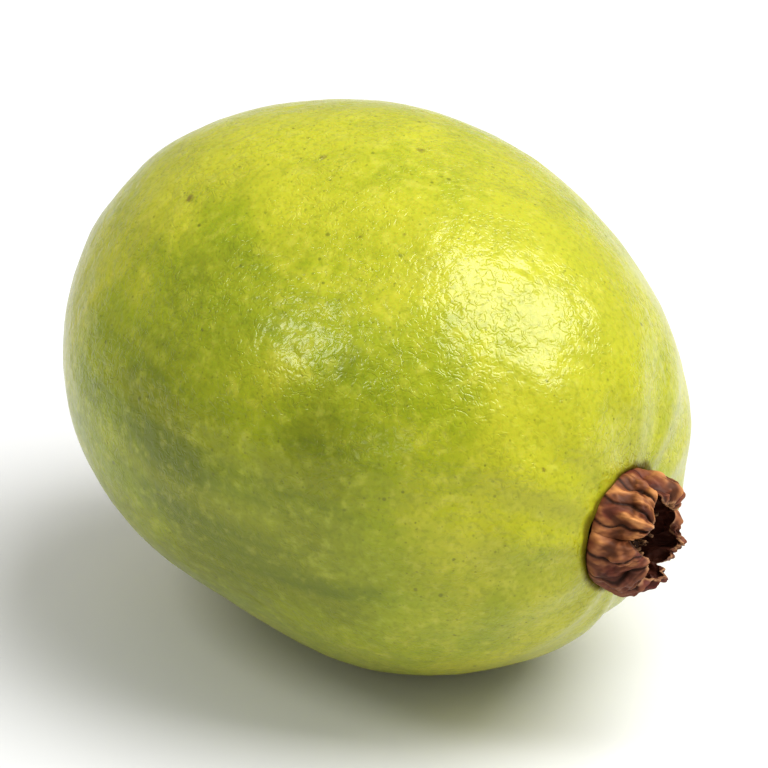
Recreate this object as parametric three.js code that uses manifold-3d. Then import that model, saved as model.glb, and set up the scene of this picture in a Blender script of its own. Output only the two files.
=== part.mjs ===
// A whole white guava, as picked, lying on its side on a small flat spot. Millimetres, +Z up.
// The origin is on the flat spot, under the fruit's middle. The long axis runs along +X to the crown end.
// The fruit is an egg shaped by a formula. The dried crown of sepals, the dried flower parts
// inside the crown and the cut stub of the stalk sit in it as pieces of their own.
import * as THREE from "three";
import { mergeVertices } from "three/addons/utils/BufferGeometryUtils.js";
import Module from "manifold-3d";

const wasm = await Module();
wasm.setup();

// Fruit
const FRUIT_LENGTH = 98; // pole to pole, before the two dimples
const FRUIT_GIRTH = 77; // diameter at the middle
const STALK_TAPER = 0.003; // how much the stalk half is slimmer than the crown half
const FULLNESS = 0.088; // how much the ends are fuller than an ellipsoid
const CROWN_DIMPLE = { depth: 1.1, width: 12 };
const STALK_DIMPLE = { depth: 4.2, width: 8.5 };
const SWELL_LEAN = 0.6; // how far swells and ribs point to the ends: 0 not at all, 1 away from the centre
const FRUIT_STEPS_AROUND = 76;
const FRUIT_STEPS_ALONG = 46;

// Soft ribs that run out from both ends: how many, how high, and where they are highest
const RIBS = 11;
const CROWN_RIBS = { height: 0.8, reach: 15, spread: 9 };
const STALK_RIBS = { height: 0.45, reach: 12, spread: 8 };
const RIB_WANDER = { amount: 0.7, waves: 3 }; // how unevenly they are spaced

// Broad swells that keep the fruit from being a perfect egg: height, waves around, waves along, start angle
const SWELLS = [
  { height: 0.9, around: 2, along: 1, start: 4.83 },
  { height: 1.2, around: 3, along: 2, start: 1.98 },
  { height: 0.42, around: 5, along: 3, start: 0.94 },
  { height: 0.15, around: 8, along: 5, start: 4.04 },
];

// How it lies
const REST_TILT_DEG = 7; // the crown end dips by this much
const FLAT_DEPTH = 0.5; // how much of the round underside the flat spot takes away
const LOWEST_SEARCH_STEPS = 2000;

// Crown of sepals
const SEPALS = 5;
const CROWN_START_DEG = 210; // the first sepal's place around the fruit's axis, 0 being the underside
const CROWN_TURN_DEG = { sideways: 12, upwards: 6 }; // the crown leans off the fruit's axis by this
// The crown end is drawn off the fruit's axis by this, less and less towards the middle of the fruit
const CROWN_SHIFT = { x: -0.8, y: 0.4, fade: 3 };
// The skin follows the crown's lean as far as the shoulder
const CROWN_SEAT = { radius: 8.6, depth: 1.4, shoulder: 15 };
const RING = { inner: 5.6, outer: 8.1, top: 0.5 }; // joins the sepals' roots
const RING_STEPS = 50;
const SEPAL = { thickness: 1.15, halfWidthDeg: 38, root: -1.1 };
const SEPAL_BEND = { low: 0.3, out: 0.92, high: 0.98 }; // bends of its middle line, in shares of rise and bulge
const SEPAL_TIP = { blunter: 0.75, roundness: 5, thinner: 0.3 }; // as shares of what it is at the root
const SEPAL_EDGE = { thinner: 0.35, curledIn: 1.3 };
const SEPAL_CURL = { from: 0.55, to: 1.05 }; // where along a sepal its tip curls down
const SEPAL_FOLDS = { height: 0.24, broad: 2, fine: 5, fineShare: 0.6 }; // folds that run along a sepal
const SEPAL_STEPS = { across: 12, along: 12 };
// Each sepal's own shape: how far its tip stands from the crown's axis and above the fruit, how far it
// bulges out, how many degrees its tip leans sideways, how far one edge stands out over the other, what share
// of its width it loses towards the tip, and how far the tip curls down
const SEPAL_SHAPES = [
  { tip: 5.0, rise: 6.3, bulge: 9.4, lean: 4, twist: 0.5, narrow: 0.1, curl: 0.3 },
  { tip: 4.7, rise: 6.1, bulge: 9.6, lean: -3, twist: 0.4, narrow: 0.1, curl: 0.1 },
  { tip: 6.0, rise: 5.8, bulge: 9.2, lean: 7, twist: 0.6, narrow: 0.3, curl: 0 },
  { tip: 6.6, rise: 6.4, bulge: 9.0, lean: -5, twist: -0.5, narrow: 0.45, curl: 0.9 },
  { tip: 5.2, rise: 7.0, bulge: 9.5, lean: 5, twist: 0.5, narrow: 0.08, curl: 1.5 },
];

// Dried flower parts inside the crown
const DISC = { radius: 5.25, bevel: 0.8, rim: 0.3, hollow: 2.1, middle: -0.3 };
const STAMENS = 16;
const STAMEN = { radius: 0.28, circle: 4.1, length: 2.9, sides: 5, slantDeg: -12 };
// How far one stamen differs from the next, and the angle in radians that each kind of change moves on by
const STAMEN_WANDER = { circle: 0.35, length: 0.25, slantDeg: 10 };
const STAMEN_DRIFT = { circle: 3, length: 5, slant: 7 };
const STYLE = { radius: 0.55, length: 3.4, sides: 8, slantDeg: 6, placeDeg: 40 };
const THREAD_ROOT = 0.6; // how far above the disc's underside the threads start
const THREAD_TIP = { waist: 0.75, waistAt: 0.8, knob: 1.25, knobAt: 0.92 }; // shares of radius and length

// Stub of the stalk
const STUB = { radius: 2.1, foot: 2.7, top: 4.0, sunk: 2.2, leanDeg: 5, bevel: 0.25 };
const STUB_NECK = { from: 1.2, waistAt: 2.8, waist: 0.94 };
const STUB_RIDGES = { count: 5, height: 0.06 };
const STUB_STEPS = 20;

const GAP = 0.3; // left between pieces that touch
const MERGE_WITHIN = 1e-4; // corners nearer to each other than this are one
const SEATING_HEIGHT = 30; // tall enough for a cutter to leave the fruit

const LOOKS = {
  guava_fruit: { color: 0xb4c63c, roughness: 0.35 },
  calyx_crown: { color: 0x6b4433, roughness: 0.8 },
  dried_stamens: { color: 0x2e1c14, roughness: 0.9 },
  stalk_stub: { color: 0x77603c, roughness: 0.8 },
};

const radians = THREE.MathUtils.degToRad;
const { smoothstep } = THREE.MathUtils;

// A closed three.js geometry as a solid, and back
function solidOf(geometry) {
  const bare = geometry.clone();
  bare.deleteAttribute("normal");
  bare.deleteAttribute("uv");
  const merged = mergeVertices(bare, MERGE_WITHIN);
  return new wasm.Manifold(
    new wasm.Mesh({
      numProp: 3,
      vertProperties: new Float32Array(merged.attributes.position.array),
      triVerts: new Uint32Array(merged.index.array),
    }),
  );
}

function geometryOf(solid) {
  const mesh = solid.getMesh();
  const positions = new Float32Array(mesh.numVert * 3);
  for (let i = 0; i < mesh.numVert; i += 1) {
    positions.set(mesh.vertProperties.subarray(i * mesh.numProp, i * mesh.numProp + 3), i * 3);
  }
  const geometry = new THREE.BufferGeometry();
  geometry.setAttribute("position", new THREE.BufferAttribute(positions, 3));
  geometry.setIndex(new THREE.BufferAttribute(mesh.triVerts, 1));
  geometry.computeVertexNormals();
  return geometry;
}

// Moves every vertex of a geometry to place(vertex)
function reshape(geometry, place) {
  const position = geometry.attributes.position;
  const vertex = new THREE.Vector3();
  for (let i = 0; i < position.count; i += 1) {
    vertex.fromBufferAttribute(position, i);
    place(vertex);
    position.setXYZ(i, vertex.x, vertex.y, vertex.z);
  }
  return geometry;
}

// A body turned about +Z, from a list of [radius, height] that starts and ends on the axis
function turned(profile, steps) {
  const points = profile.map(([radius, height]) => new THREE.Vector2(radius, height));
  return new THREE.LatheGeometry(points, steps).rotateX(Math.PI / 2);
}

// 1 at the centre of a soft band and falling to 0 outside it
function band(value, centre, spread) {
  return Math.exp(-(((value - centre) / spread) ** 2));
}

// The egg: distance from the long axis and height along it, for an angle u from the crown pole
function eggRadius(u) {
  const c = Math.cos(u);
  return (FRUIT_GIRTH / 2) * Math.sin(u) * (1 + STALK_TAPER * c + FULLNESS * c * c);
}

function eggHeight(u) {
  return (FRUIT_LENGTH / 2) * Math.cos(u);
}

// The fruit's surface at angle u from the crown pole and v around the axis
function fruitPoint(u, v) {
  const radius = eggRadius(u);
  const crownHalf = u < Math.PI / 2;
  const ribs = crownHalf ? CROWN_RIBS : STALK_RIBS;
  const dimple = crownHalf ? CROWN_DIMPLE : STALK_DIMPLE;
  const ribWave = Math.cos(RIBS * v + RIB_WANDER.amount * Math.sin(RIB_WANDER.waves * v));
  let swell = ribs.height * band(radius, ribs.reach, ribs.spread) * ribWave * Math.sin(u);
  for (const s of SWELLS) {
    const wave = Math.cos(s.around * v + s.start + Math.sin(s.along * u));
    swell += s.height * Math.sin(u) ** 2 * wave * Math.cos(s.along * u);
  }
  const outward = new THREE.Vector2(radius, eggHeight(u) * SWELL_LEAN).normalize();
  const sunk = dimple.depth * band(radius, 0, dimple.width) * Math.sign(Math.cos(u));
  const r = radius + swell * outward.x;
  const x = r * Math.cos(v);
  const y = r * Math.sin(v);
  const shoulder = crownHalf ? seatRise(x, y) * band(radius, 0, CROWN_SEAT.shoulder) : 0;
  const drawn = crownHalf ? Math.cos(u) ** CROWN_SHIFT.fade : 0;
  return new THREE.Vector3(
    x + CROWN_SHIFT.x * drawn,
    y + CROWN_SHIFT.y * drawn,
    eggHeight(u) + swell * outward.y - sunk + shoulder,
  );
}

// How far the crown's leaning seat rises from its middle to a place beside it, in the fruit's frame
function seatRise(x, y) {
  const up = new THREE.Vector3(0, 0, 1).transformDirection(crownSeat());
  return -(up.x * x + up.y * y) / up.z;
}

// The lowest point of the tilted egg, from which the fruit's place on the table follows
function lowestPoint() {
  const tilt = radians(REST_TILT_DEG);
  let lowest = { x: 0, z: Infinity };
  for (let step = 0; step <= LOWEST_SEARCH_STEPS; step += 1) {
    const u = (Math.PI * step) / LOWEST_SEARCH_STEPS;
    const z = -eggRadius(u) * Math.cos(tilt) - eggHeight(u) * Math.sin(tilt);
    if (z < lowest.z) {
      lowest = { x: eggHeight(u) * Math.cos(tilt) - eggRadius(u) * Math.sin(tilt), z };
    }
  }
  return lowest;
}

// From the fruit's own frame, with the crown at +Z and the underside at +X, to the table's
function lyingOnTable() {
  const lowest = lowestPoint();
  const turn = new THREE.Matrix4().makeRotationY(radians(90 + REST_TILT_DEG));
  const lift = new THREE.Matrix4().makeTranslation(-lowest.x, 0, -lowest.z - FLAT_DEPTH);
  return lift.multiply(turn);
}

// From the crown's frame, with the floor of the crown dimple at z = 0, to the fruit's
function crownSeat() {
  const seatHeight = eggHeight(0) - CROWN_DIMPLE.depth;
  const turn = new THREE.Matrix4().makeRotationFromEuler(
    new THREE.Euler(-radians(CROWN_TURN_DEG.sideways), -radians(CROWN_TURN_DEG.upwards), 0),
  );
  return new THREE.Matrix4().makeTranslation(CROWN_SHIFT.x, CROWN_SHIFT.y, seatHeight).multiply(turn);
}

// From the stub's frame, with the floor of the stalk dimple at z = 0 and the stub's end at +Z, to the fruit's
function stubSeat() {
  const seatHeight = eggHeight(Math.PI) + STALK_DIMPLE.depth;
  const turn = new THREE.Matrix4().makeRotationX(Math.PI - radians(STUB.leanDeg));
  return new THREE.Matrix4().makeTranslation(0, 0, seatHeight).multiply(turn);
}

function fruitSolid() {
  const profile = [];
  for (let i = 0; i <= FRUIT_STEPS_ALONG; i += 1) {
    const u = Math.PI * (1 - i / FRUIT_STEPS_ALONG);
    profile.push([i === 0 || i === FRUIT_STEPS_ALONG ? 0 : Math.sin(u), Math.cos(u)]);
  }
  const ball = turned(profile, FRUIT_STEPS_AROUND);
  reshape(ball, (p) => {
    const u = Math.atan2(Math.hypot(p.x, p.y), p.z);
    p.copy(fruitPoint(u, Math.atan2(p.y, p.x)));
  });
  return solidOf(ball);
}

// A round cutter that stands on the floor of a pocket
function roundCutter(radius, floor, seat) {
  const cutter = turned(
    [
      [0, floor],
      [radius, floor],
      [radius, SEATING_HEIGHT],
      [0, SEATING_HEIGHT],
    ],
    RING_STEPS,
  );
  return solidOf(cutter.applyMatrix4(seat));
}

// The pocket that a piece of the given radius and depth sits in, with the gap round it
function pocket(radius, depth, seat) {
  return roundCutter(radius + GAP, -depth - GAP, seat);
}

// The skin round the crown's seat, in the crown's frame and raised by the gap, to trim the sepals with
function raisedSkin() {
  const intoCrown = crownSeat().invert();
  const raise = new THREE.Matrix4().makeTranslation(0, 0, GAP);
  const fruit = solidOf(geometryOf(fruitSolid()).applyMatrix4(raise.multiply(intoCrown)));
  return fruit.subtract(roundCutter(CROWN_SEAT.radius, -CROWN_SEAT.depth, new THREE.Matrix4()));
}

// The fruit as it lies: pockets for the crown and the stub, and the flat spot at z = 0
function restingFruit(pose) {
  const hollowed = fruitSolid()
    .subtract(pocket(CROWN_SEAT.radius, CROWN_SEAT.depth, crownSeat()))
    .subtract(pocket(STUB.foot, STUB.sunk, stubSeat()));
  const lying = geometryOf(hollowed).applyMatrix4(pose);
  const below = new THREE.BoxGeometry(FRUIT_LENGTH * 2, FRUIT_LENGTH * 2, FRUIT_LENGTH);
  below.translate(0, 0, -FRUIT_LENGTH / 2);
  return solidOf(lying).subtract(solidOf(below));
}

// The middle line of a sepal from its root to its tip, as distance from the axis and height
function sepalMiddle(shape) {
  return new THREE.CubicBezierCurve(
    new THREE.Vector2(CROWN_SEAT.radius - SEPAL.thickness / 2, SEPAL.root),
    new THREE.Vector2(shape.bulge, shape.rise * SEPAL_BEND.low),
    new THREE.Vector2(shape.bulge * SEPAL_BEND.out, shape.rise * SEPAL_BEND.high),
    new THREE.Vector2(shape.tip, shape.rise),
  );
}

// How far the folds stand out of a sepal, at a place across it and along it
function foldHeight(shape, across, along) {
  const broad = Math.cos(SEPAL_FOLDS.broad * Math.PI * across + shape.lean);
  const fine = SEPAL_FOLDS.fineShare * Math.cos(SEPAL_FOLDS.fine * Math.PI * across);
  return SEPAL_FOLDS.height * Math.sin(Math.PI * along) * (broad + fine);
}

// One sepal: a thin block bent up from the seat, wrapped round the axis, narrowed to a blunt tip and folded
function sepalSolid(shape, placeDeg) {
  const middle = sepalMiddle(shape);
  const block = new THREE.BoxGeometry(2, 2, 1, SEPAL_STEPS.across, 1, SEPAL_STEPS.along);
  reshape(block, (p) => {
    const along = p.z + 0.5;
    const across = -p.x; // keeps the faces pointing out
    const point = middle.getPoint(along);
    const ahead = middle.getTangent(along);
    const blunt = Math.sqrt(1 - SEPAL_TIP.blunter * along ** SEPAL_TIP.roundness);
    const half = radians(SEPAL.halfWidthDeg) * (1 - shape.narrow * along) * blunt;
    const turn = radians(placeDeg) + across * half + radians(shape.lean) * along * along;
    const curled = SEPAL_EDGE.curledIn * along * across * across - shape.twist * along * across;
    const thin = (1 - SEPAL_TIP.thinner * along) * (1 - SEPAL_EDGE.thinner * across * across);
    const offset = (p.y * thin * SEPAL.thickness) / 2 + foldHeight(shape, across, along) - curled;
    const r = point.x + ahead.y * offset;
    const drop = shape.curl * smoothstep(along, SEPAL_CURL.from, SEPAL_CURL.to) ** 2;
    p.set(r * Math.cos(turn), r * Math.sin(turn), point.y - ahead.x * offset - drop);
  });
  return solidOf(block);
}

// The crown: a low ring inside the roots of the sepals, and the sepals
function crownSolid() {
  const ring = turned(
    [
      [RING.inner, -CROWN_SEAT.depth],
      [RING.outer, -CROWN_SEAT.depth],
      [RING.outer, RING.top],
      [RING.inner, RING.top],
      [RING.inner, -CROWN_SEAT.depth],
    ],
    RING_STEPS,
  );
  const skin = raisedSkin();
  const sepals = SEPAL_SHAPES.map((shape, i) =>
    sepalSolid(shape, CROWN_START_DEG + (i * 360) / SEPALS).subtract(skin),
  );
  return outerBody(sepals.reduce((crown, sepal) => crown.add(sepal), solidOf(ring)));
}

// The largest body of a solid, without the small hollows that fused pieces seal between them
function outerBody(solid) {
  return solid.decompose().reduce((best, body) => (body.volume() > best.volume() ? body : best));
}

// A thin dried thread that stands on the disc at a slant, at a distance from the axis and a place round it
function threadSolid(thread, circle, placeDeg) {
  const line = turned(
    [
      [0, 0],
      [thread.radius, 0],
      [thread.radius * THREAD_TIP.waist, thread.length * THREAD_TIP.waistAt],
      [thread.radius * THREAD_TIP.knob, thread.length * THREAD_TIP.knobAt],
      [0, thread.length],
    ],
    thread.sides,
  );
  line.rotateY(radians(thread.slantDeg)).translate(circle, 0, THREAD_ROOT - CROWN_SEAT.depth);
  return solidOf(line.rotateZ(radians(placeDeg)));
}

// The dried disc of the flower, with the stubs of its stamens in a ring and of its style in the middle
function stamensSolid() {
  const disc = turned(
    [
      [0, -CROWN_SEAT.depth],
      [DISC.radius, -CROWN_SEAT.depth],
      [DISC.radius, 0],
      [DISC.radius - DISC.bevel, DISC.rim],
      [DISC.hollow, DISC.middle],
      [0, DISC.middle],
    ],
    RING_STEPS,
  );
  let whole = solidOf(disc).add(threadSolid(STYLE, 0, STYLE.placeDeg));
  for (let i = 0; i < STAMENS; i += 1) {
    const stamen = {
      ...STAMEN,
      length: STAMEN.length * (1 - STAMEN_WANDER.length * Math.cos(STAMEN_DRIFT.length * i)),
      slantDeg: STAMEN.slantDeg + STAMEN_WANDER.slantDeg * Math.sin(STAMEN_DRIFT.slant * i),
    };
    const circle = STAMEN.circle - STAMEN_WANDER.circle * Math.cos(STAMEN_DRIFT.circle * i);
    whole = whole.add(threadSolid(stamen, circle, (i * 360) / STAMENS));
  }
  return outerBody(whole);
}

// The cut stub of the stalk: a flared foot, a ridged neck and a flat cut end
function stubSolid() {
  const stub = turned(
    [
      [0, -STUB.sunk],
      [STUB.foot, -STUB.sunk],
      [STUB.foot, 0],
      [STUB.radius, STUB_NECK.from],
      [STUB.radius * STUB_NECK.waist, STUB_NECK.waistAt],
      [STUB.radius, STUB.top - STUB.bevel],
      [STUB.radius - STUB.bevel, STUB.top],
      [0, STUB.top],
    ],
    STUB_STEPS,
  );
  reshape(stub, (p) => {
    const wave = p.z > 0 ? Math.cos(STUB_RIDGES.count * Math.atan2(p.y, p.x)) : 0;
    const wider = 1 + STUB_RIDGES.height * wave;
    p.set(p.x * wider, p.y * wider, p.z);
  });
  return solidOf(stub);
}

// A named mesh of a solid at its place, in its own look
function piece(name, solid, place) {
  const material = new THREE.MeshStandardMaterial({ ...LOOKS[name], metalness: 0 });
  const mesh = new THREE.Mesh(geometryOf(solid).applyMatrix4(place), material);
  mesh.name = name;
  return mesh;
}

const pose = lyingOnTable();
const crownPose = pose.clone().multiply(crownSeat());
const stubPose = pose.clone().multiply(stubSeat());

const guava = new THREE.Group();
guava.add(piece("guava_fruit", restingFruit(pose), new THREE.Matrix4()));
guava.add(piece("calyx_crown", crownSolid(), crownPose));
guava.add(piece("dried_stamens", stamensSolid(), crownPose));
guava.add(piece("stalk_stub", stubSolid(), stubPose));

export default guava;
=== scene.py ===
"""A whole white guava lying on its side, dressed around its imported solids.

Everything is in metres in the part's own frame: +Z up, +X towards the crown of sepals. The pieces are
worked out in millimetres in the fruit's own frame, where the crown is at +Z and the underside at +X.
"""

import logging
import math
from collections.abc import Sequence
from dataclasses import dataclass
from enum import Enum

import bpy
from mathutils import Matrix, Vector


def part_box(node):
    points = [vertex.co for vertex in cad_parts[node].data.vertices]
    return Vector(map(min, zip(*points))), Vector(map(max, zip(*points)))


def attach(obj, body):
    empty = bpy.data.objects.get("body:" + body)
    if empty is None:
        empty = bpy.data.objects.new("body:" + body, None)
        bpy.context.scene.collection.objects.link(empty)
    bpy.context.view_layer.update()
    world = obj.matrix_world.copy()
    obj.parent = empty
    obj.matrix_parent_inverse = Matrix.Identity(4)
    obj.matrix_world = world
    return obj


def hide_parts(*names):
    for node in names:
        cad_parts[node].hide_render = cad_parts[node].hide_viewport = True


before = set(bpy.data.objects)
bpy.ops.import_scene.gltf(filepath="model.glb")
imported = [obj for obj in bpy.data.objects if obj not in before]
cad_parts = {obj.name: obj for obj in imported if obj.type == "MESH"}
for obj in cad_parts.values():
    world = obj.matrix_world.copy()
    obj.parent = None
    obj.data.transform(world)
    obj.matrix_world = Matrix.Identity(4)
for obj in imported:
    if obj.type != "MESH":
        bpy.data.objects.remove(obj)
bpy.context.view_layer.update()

MM = 0.001
BODY = "root"
# A distance in millimetres at which neither the crown nor the stub stains the skin.
FAR = 99.0
# How many places along the egg's side are tried for the one that rests on the table.
SEARCH_STEPS = 2000

log = logging.getLogger("guava")


class Slot(Enum):
    """The record's material slots."""

    SKIN = "skin"
    SEPAL = "dried_sepal"
    FLOWER = "dried_flower"
    STALK = "stalk_wood"


class Node(Enum):
    """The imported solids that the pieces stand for."""

    FRUIT = "guava_fruit"
    CROWN = "calyx_crown"
    STAMENS = "dried_stamens"
    STUB = "stalk_stub"


class Kind(Enum):
    """The kind of number that a stored attribute holds."""

    FLOAT = "FLOAT"
    VECTOR = "FLOAT_VECTOR"


@dataclass(frozen=True)
class Ramp:
    """A soft change of a number: from start, up to low, to end, from high on."""

    low: float
    high: float
    start: float = 0.0
    end: float = 1.0


@dataclass(frozen=True)
class Noise:
    """A soft noise: the size of its features, which one it is, its finer layers and its twist."""

    size: float
    seed: float
    detail: float = 2.0
    warp: float = 0.0


class Field:
    """A number in a node tree that plain arithmetic works on."""

    def __init__(self, tree: bpy.types.NodeTree, socket: bpy.types.NodeSocket) -> None:
        """Wrap an output socket.

        Args:
            tree: The node tree the socket is in.
            socket: The output that gives the number.
        """
        self.tree = tree
        self.socket = socket

    def math(self, operation: str, *others: "Field | float", first: bool = True) -> "Field":
        """Add a Math node.

        Args:
            operation: The node's operation.
            others: The other numbers it works on.
            first: Whether this number goes in before the others.

        Returns:
            The result.
        """
        node = self.tree.nodes.new("ShaderNodeMath")
        node.operation = operation
        values = (self, *others) if first else (*others, self)
        for socket, value in zip(node.inputs, values):
            connect(self.tree, value, socket)
        return Field(self.tree, node.outputs[0])

    def __add__(self, other: "Field | float") -> "Field":
        """Give the sum."""
        return self.math("ADD", other)

    def __radd__(self, other: float) -> "Field":
        """Give the sum."""
        return self.math("ADD", other)

    def __sub__(self, other: "Field | float") -> "Field":
        """Give the difference."""
        return self.math("SUBTRACT", other)

    def __rsub__(self, other: float) -> "Field":
        """Give the difference."""
        return self.math("SUBTRACT", other, first=False)

    def __mul__(self, other: "Field | float") -> "Field":
        """Give the product."""
        return self.math("MULTIPLY", other)

    def __rmul__(self, other: float) -> "Field":
        """Give the product."""
        return self.math("MULTIPLY", other)

    def __truediv__(self, other: "Field | float") -> "Field":
        """Give the quotient."""
        return self.math("DIVIDE", other)

    def __pow__(self, power: float) -> "Field":
        """Give a power of a number that isn't negative."""
        return self.math("POWER", power)

    def __neg__(self) -> "Field":
        """Give the opposite number."""
        return self.math("MULTIPLY", -1.0)

    def sin(self) -> "Field":
        """Give the sine."""
        return self.math("SINE")

    def cos(self) -> "Field":
        """Give the cosine."""
        return self.math("COSINE")

    def square(self) -> "Field":
        """Give the square, also of a negative number."""
        return self * self

    def root(self) -> "Field":
        """Give the square root."""
        return self.math("SQRT")

    def highest(self, other: "Field | float") -> "Field":
        """Give the higher of two numbers."""
        return self.math("MAXIMUM", other)

    def lowest(self, other: "Field | float") -> "Field":
        """Give the lower of two numbers."""
        return self.math("MINIMUM", other)

    def above(self, limit: float) -> "Field":
        """Give 1 above the limit and 0 below it."""
        return self.math("GREATER_THAN", limit)

    def band(self, centre: "Field | float", spread: "Field | float") -> "Field":
        """Give 1 at the centre of a soft band and 0 outside it."""
        return (-((self - centre) / spread).square()).math("EXPONENT")

    def ramp(self, change: Ramp) -> "Field":
        """Change softly from one number to another.

        Args:
            change: Where the change starts and ends, and its two numbers.

        Returns:
            The changed number.
        """
        node = self.tree.nodes.new("ShaderNodeMapRange")
        node.interpolation_type = "SMOOTHSTEP"
        for socket, value in zip(node.inputs, (self, change.low, change.high, change.start, change.end)):
            connect(self.tree, value, socket)
        return Field(self.tree, node.outputs[0])


def connect(tree: bpy.types.NodeTree, value: object, socket: bpy.types.NodeSocket) -> None:
    """Link a field or an output to an input, or set the input to a plain value.

    Args:
        tree: The node tree.
        value: A Field, an output socket or a value.
        socket: The input.
    """
    if isinstance(value, Field):
        tree.links.new(value.socket, socket)
    elif isinstance(value, bpy.types.NodeSocket):
        tree.links.new(value, socket)
    else:
        socket.default_value = value


def mixed(share: Field, one: "Field | float", other: "Field | float") -> Field:
    """Give one number where share is 1 and the other where it is 0."""
    return share * (one - other) + other


class Graph:
    """What geometry trees and material trees share: noise, vectors and single nodes."""

    tree: bpy.types.NodeTree

    def add(self, kind: str, values: dict[str, object] | None = None, **settings: object) -> bpy.types.Node:
        """Add a node.

        Args:
            kind: The node's type.
            values: What goes into its inputs, by their names.
            settings: The node's own settings.

        Returns:
            The node.
        """
        node = self.tree.nodes.new(kind)
        for name, setting in settings.items():
            setattr(node, name, setting)
        for name, value in (values or {}).items():
            socket = next(s for s in node.inputs if s.name == name and s.enabled)
            connect(self.tree, value, socket)
        return node

    def field(self, socket: bpy.types.NodeSocket) -> Field:
        """Wrap an output."""
        return Field(self.tree, socket)

    def parts(self, vector: object) -> tuple[Field, Field, Field]:
        """Take a vector apart into X, Y and Z."""
        node = self.add("ShaderNodeSeparateXYZ", {"Vector": vector})
        x, y, z = (self.field(output) for output in node.outputs)
        return x, y, z

    def vector(self, x: object, y: object, z: object) -> bpy.types.NodeSocket:
        """Put a vector together."""
        return self.add("ShaderNodeCombineXYZ", {"X": x, "Y": y, "Z": z}).outputs[0]

    def scaled(self, vector: object, factor: object) -> bpy.types.NodeSocket:
        """Multiply a vector by a number."""
        values = {"Vector": vector, "Scale": factor}
        return self.add("ShaderNodeVectorMath", values, operation="SCALE").outputs[0]

    def noise(self, vector: object, kind: Noise) -> Field:
        """Add a noise between 0 and 1.

        Args:
            vector: The place it is read at, in the units of its size.
            kind: The noise.

        Returns:
            The noise.
        """
        values = {
            "Vector": vector,
            "W": kind.seed,
            "Scale": 1 / kind.size,
            "Detail": kind.detail,
            "Distortion": kind.warp,
        }
        node = self.add("ShaderNodeTexNoise", values, noise_dimensions="4D")
        return self.field(node.outputs[0])

    def sway(self, vector: object, kind: Noise, reach: float = 1.0) -> Field:
        """Add a noise that swings about 0, half its reach to either side."""
        return (self.noise(vector, kind) - 0.5) * reach


class ShapeTree(Graph):
    """A Geometry Nodes tree with named inputs that ends in Realize Instances and Set Material."""

    def __init__(self, name: str) -> None:
        """Start an empty tree.

        Args:
            name: The tree's name.
        """
        self.tree = bpy.data.node_groups.new(name, "GeometryNodeTree")
        self.tree.interface.new_socket("Geometry", in_out="OUTPUT", socket_type="NodeSocketGeometry")
        self.entry = self.tree.nodes.new("NodeGroupInput")
        self.exit = self.tree.nodes.new("NodeGroupOutput")

    def number(self, name: str, value: float) -> Field:
        """Add a named input for a number."""
        socket = self.tree.interface.new_socket(name, in_out="INPUT", socket_type="NodeSocketFloat")
        socket.default_value = value
        return self.field(self.entry.outputs[name])

    def whole(self, name: str, value: int) -> Field:
        """Add a named input for a whole number."""
        socket = self.tree.interface.new_socket(name, in_out="INPUT", socket_type="NodeSocketInt")
        socket.default_value = value
        return self.field(self.entry.outputs[name])

    def position(self) -> bpy.types.NodeSocket:
        """Give the place of a point."""
        return self.add("GeometryNodeInputPosition").outputs[0]

    def moved(self, geometry: object, place: object) -> bpy.types.NodeSocket:
        """Move every point to a place."""
        return self.add("GeometryNodeSetPosition", {"Geometry": geometry, "Position": place}).outputs[0]

    def pushed(self, geometry: object, height: Field) -> bpy.types.NodeSocket:
        """Push every point out along its normal."""
        normal = self.add("GeometryNodeInputNormal").outputs[0]
        values = {"Geometry": geometry, "Offset": self.scaled(normal, height)}
        return self.add("GeometryNodeSetPosition", values).outputs[0]

    def kept(self, geometry: object, name: str, value: object, kind: Kind) -> bpy.types.NodeSocket:
        """Keep a value as a named attribute of the points."""
        values = {"Geometry": geometry, "Name": name, "Value": value}
        return self.add("GeometryNodeStoreNamedAttribute", values, data_type=kind.value).outputs[0]

    def placed(self, geometry: object, place: Matrix) -> bpy.types.NodeSocket:
        """Bring a geometry from millimetres in its own frame to its place in metres."""
        matrix = self.add("FunctionNodeCombineMatrix")
        for column in range(4):
            for row in range(4):
                matrix.inputs[column * 4 + row].default_value = place[row][column]
        values = {"Geometry": geometry, "Transform": matrix.outputs[0]}
        return self.add("GeometryNodeTransform", values, mode="MATRIX").outputs[0]

    def finish(self, geometry: object, material: bpy.types.Material) -> None:
        """End the tree with smooth shading, Realize Instances and Set Material."""
        smooth = self.add("GeometryNodeSetShadeSmooth", {"Geometry": geometry, "Shade Smooth": True})
        real = self.add("GeometryNodeRealizeInstances", {"Geometry": smooth.outputs[0]})
        dressed = self.add("GeometryNodeSetMaterial", {"Geometry": real.outputs[0], "Material": material})
        self.tree.links.new(dressed.outputs[0], self.exit.inputs[0])

    def mesh(self, values: dict[str, float]) -> bpy.types.Mesh:
        """Run the tree and give its result as a plain mesh.

        Args:
            values: What goes into the named inputs.

        Returns:
            The mesh.
        """
        holder = bpy.data.objects.new(self.tree.name, bpy.data.meshes.new(self.tree.name))
        bpy.context.scene.collection.objects.link(holder)
        modifier = holder.modifiers.new(self.tree.name, "NODES")
        modifier.node_group = self.tree
        for item in self.tree.interface.items_tree:
            if item.in_out == "INPUT" and item.name in values:
                modifier[item.identifier] = values[item.name]
        graph = bpy.context.evaluated_depsgraph_get()
        evaluated = holder.evaluated_get(graph)
        mesh = bpy.data.meshes.new_from_object(evaluated, preserve_all_data_layers=True, depsgraph=graph)
        holder.modifiers.clear()
        bpy.data.objects.remove(holder)
        return mesh


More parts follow.
